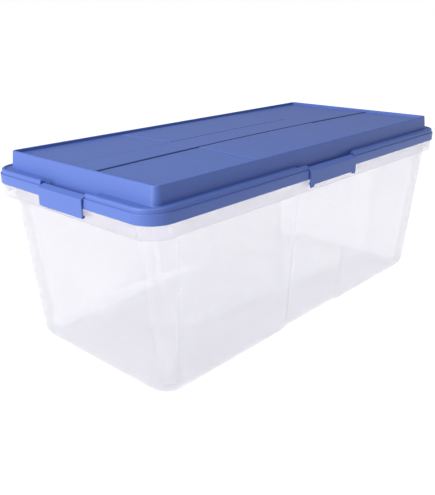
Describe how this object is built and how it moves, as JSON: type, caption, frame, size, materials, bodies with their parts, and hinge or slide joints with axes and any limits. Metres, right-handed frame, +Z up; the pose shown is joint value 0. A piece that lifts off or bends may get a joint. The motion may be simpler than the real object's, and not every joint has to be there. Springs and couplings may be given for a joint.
{
  "type": "latching storage box",
  "caption": "Long rectangular clear plastic storage box with drafted walls, a blue lift-off lid with a raised top, and hinged latches on the ends and long sides.",
  "frame": {"origin": "centre of the footprint, on the surface that the tub stands on", "axes": "+X along the length, +Y across the width, +Z up"},
  "size_m": [0.8064, 0.3784, 0.322],
  "materials": {
    "tub_plastic": "clear polypropylene, slightly hazy, satin moulded surface",
    "lid_plastic": "blue polypropylene, fine satin moulded grain",
    "latch_plastic": "blue polypropylene, satin"
  },
  "bodies": {
    "tub": {"tub": "tub_plastic"},
    "lid": {"lid": "lid_plastic"},
    "end_latch_left": {"end_latch_left": "latch_plastic"},
    "end_latch_right": {"end_latch_right": "latch_plastic"},
    "side_latch_front": {"side_latch_front": "latch_plastic"},
    "side_latch_back": {"side_latch_back": "latch_plastic"}
  },
  "joints": [
    {"name": "lid_lift", "type": "slide", "parent": "tub", "child": "lid", "axis": [0, 0, 1], "range_m": [0, 0.3]},
    {"name": "end_latch_left_hinge", "type": "hinge", "parent": "lid", "child": "end_latch_left", "pos_m": [-0.3935, 0, 0.2899], "axis": [0, 1, 0], "range_deg": [0, 110]},
    {"name": "end_latch_right_hinge", "type": "hinge", "parent": "lid", "child": "end_latch_right", "pos_m": [0.3935, 0, 0.2899], "axis": [0, -1, 0], "range_deg": [0, 110]},
    {"name": "side_latch_front_hinge", "type": "hinge", "parent": "lid", "child": "side_latch_front", "pos_m": [0, -0.1795, 0.2899], "axis": [-1, 0, 0], "range_deg": [0, 110]},
    {"name": "side_latch_back_hinge", "type": "hinge", "parent": "lid", "child": "side_latch_back", "pos_m": [0, 0.1795, 0.2899], "axis": [1, 0, 0], "range_deg": [0, 110]}
  ]
}
